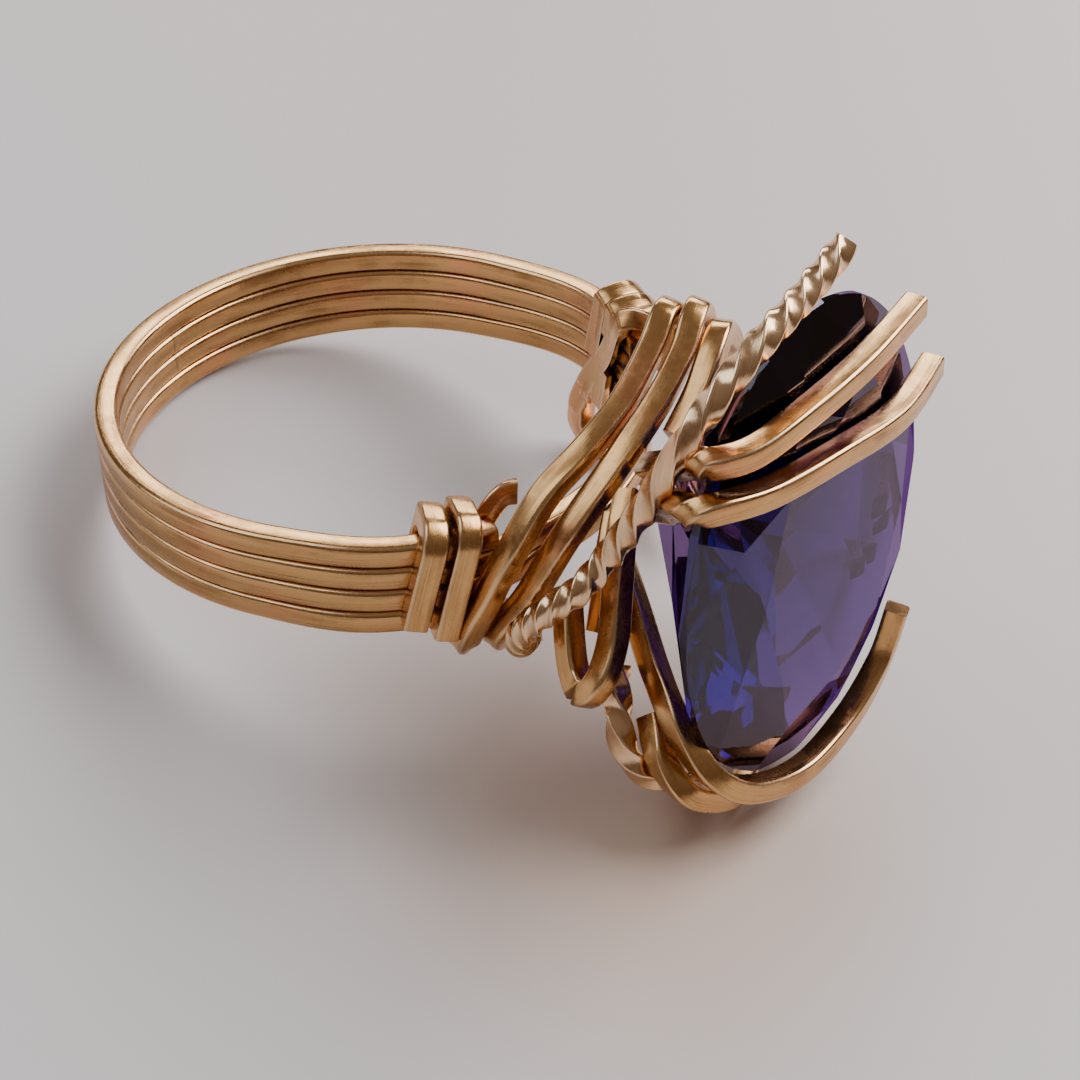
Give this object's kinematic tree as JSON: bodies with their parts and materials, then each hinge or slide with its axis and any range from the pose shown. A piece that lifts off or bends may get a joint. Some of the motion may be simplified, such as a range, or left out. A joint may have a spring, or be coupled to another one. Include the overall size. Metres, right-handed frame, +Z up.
{
  "type": "wire wrapped ring",
  "caption": "Finger ring of plain and twisted square gold wires wrapped at the shoulders, with prongs that hold a large oval faceted blue-violet stone.",
  "frame": {"origin": "middle of the ring's footprint box, on the surface it rests on", "axes": "+Z up, +X from the back of the band towards the stone, +Y towards the far shoulder"},
  "size_m": [0.0288, 0.0194, 0.0199],
  "materials": {
    "gold_wire": "worn polished gold-filled",
    "twisted_wire": "polished gold-filled",
    "gemstone": "polished facets"
  },
  "bodies": {
    "root": {"band_wire_1": "gold_wire", "band_wire_2": "gold_wire", "band_wire_3": "gold_wire", "band_wire_4": "gold_wire", "near_wrap_1": "gold_wire", "near_wrap_2": "gold_wire", "far_wrap_1": "gold_wire", "far_wrap_2": "gold_wire", "upper_diagonal": "gold_wire", "lower_diagonal": "gold_wire", "short_wire": "gold_wire", "upper_prong": "gold_wire", "lower_prong": "gold_wire", "front_frame_wire": "gold_wire", "rear_frame_wire": "gold_wire", "shoulder_wire": "gold_wire", "outer_loop_wire": "gold_wire", "inner_loop_wire": "gold_wire", "upper_twist": "twisted_wire", "lower_twist": "twisted_wire", "stone": "gemstone"}
  },
  "joints": []
}
